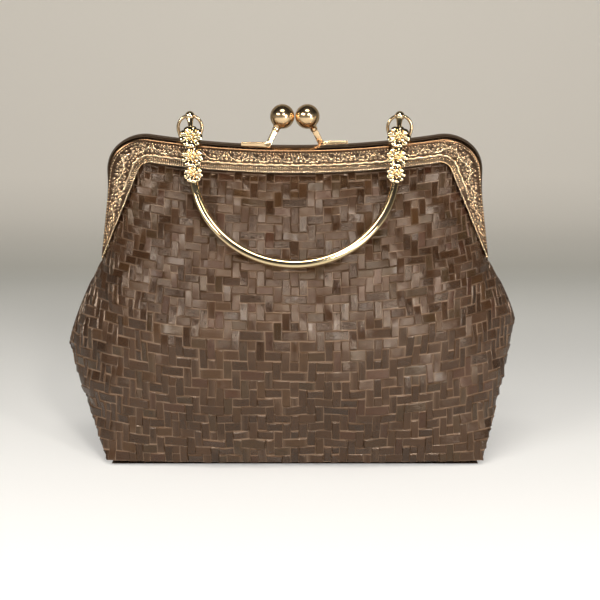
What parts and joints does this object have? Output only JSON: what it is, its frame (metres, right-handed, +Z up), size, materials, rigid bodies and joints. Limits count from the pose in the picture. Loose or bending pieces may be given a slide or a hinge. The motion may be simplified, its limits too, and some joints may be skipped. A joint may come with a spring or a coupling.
{
  "type": "frame clutch bag",
  "caption": "Frame bag of leather embossed with a weave: hinged gold-tone metal frame, ball clasp, and a cast U handle that swings on wire loops.",
  "frame": {"origin": "middle of the flat base, on the floor", "axes": "+X to the right along the width, -Y towards the front with the handle, +Z up"},
  "size_m": [0.24, 0.1082, 0.1869],
  "materials": {
    "leather": "glossy, embossed with a weave",
    "lining": "plain cloth",
    "board": "grey board",
    "gold_metal": "polished light gold plate"
  },
  "bodies": {
    "bag": {"front_panel": "leather", "back_panel": "leather", "front_lining": "lining", "back_lining": "lining", "base_board": "board", "front_frame": "gold_metal", "left_hinge_rivet": "gold_metal", "right_hinge_rivet": "gold_metal", "front_clasp_arm": "gold_metal", "front_clasp_ball": "gold_metal", "left_handle_loop": "gold_metal", "right_handle_loop": "gold_metal"},
    "back_half": {"back_frame": "gold_metal", "back_clasp_arm": "gold_metal", "back_clasp_ball": "gold_metal"},
    "handle": {"handle": "gold_metal"}
  },
  "joints": [
    {"name": "frame_hinge", "type": "hinge", "parent": "bag", "child": "back_half", "pos_m": [0, 0, 0.1065], "axis": [-1, 0, 0], "range_deg": [0, 75], "deforming": ["back_panel", "back_lining"]},
    {"name": "handle_swing", "type": "hinge", "parent": "bag", "child": "handle", "pos_m": [0, -0.0045, 0.181], "axis": [-1, 0, 0], "range_deg": [0, 270]}
  ]
}
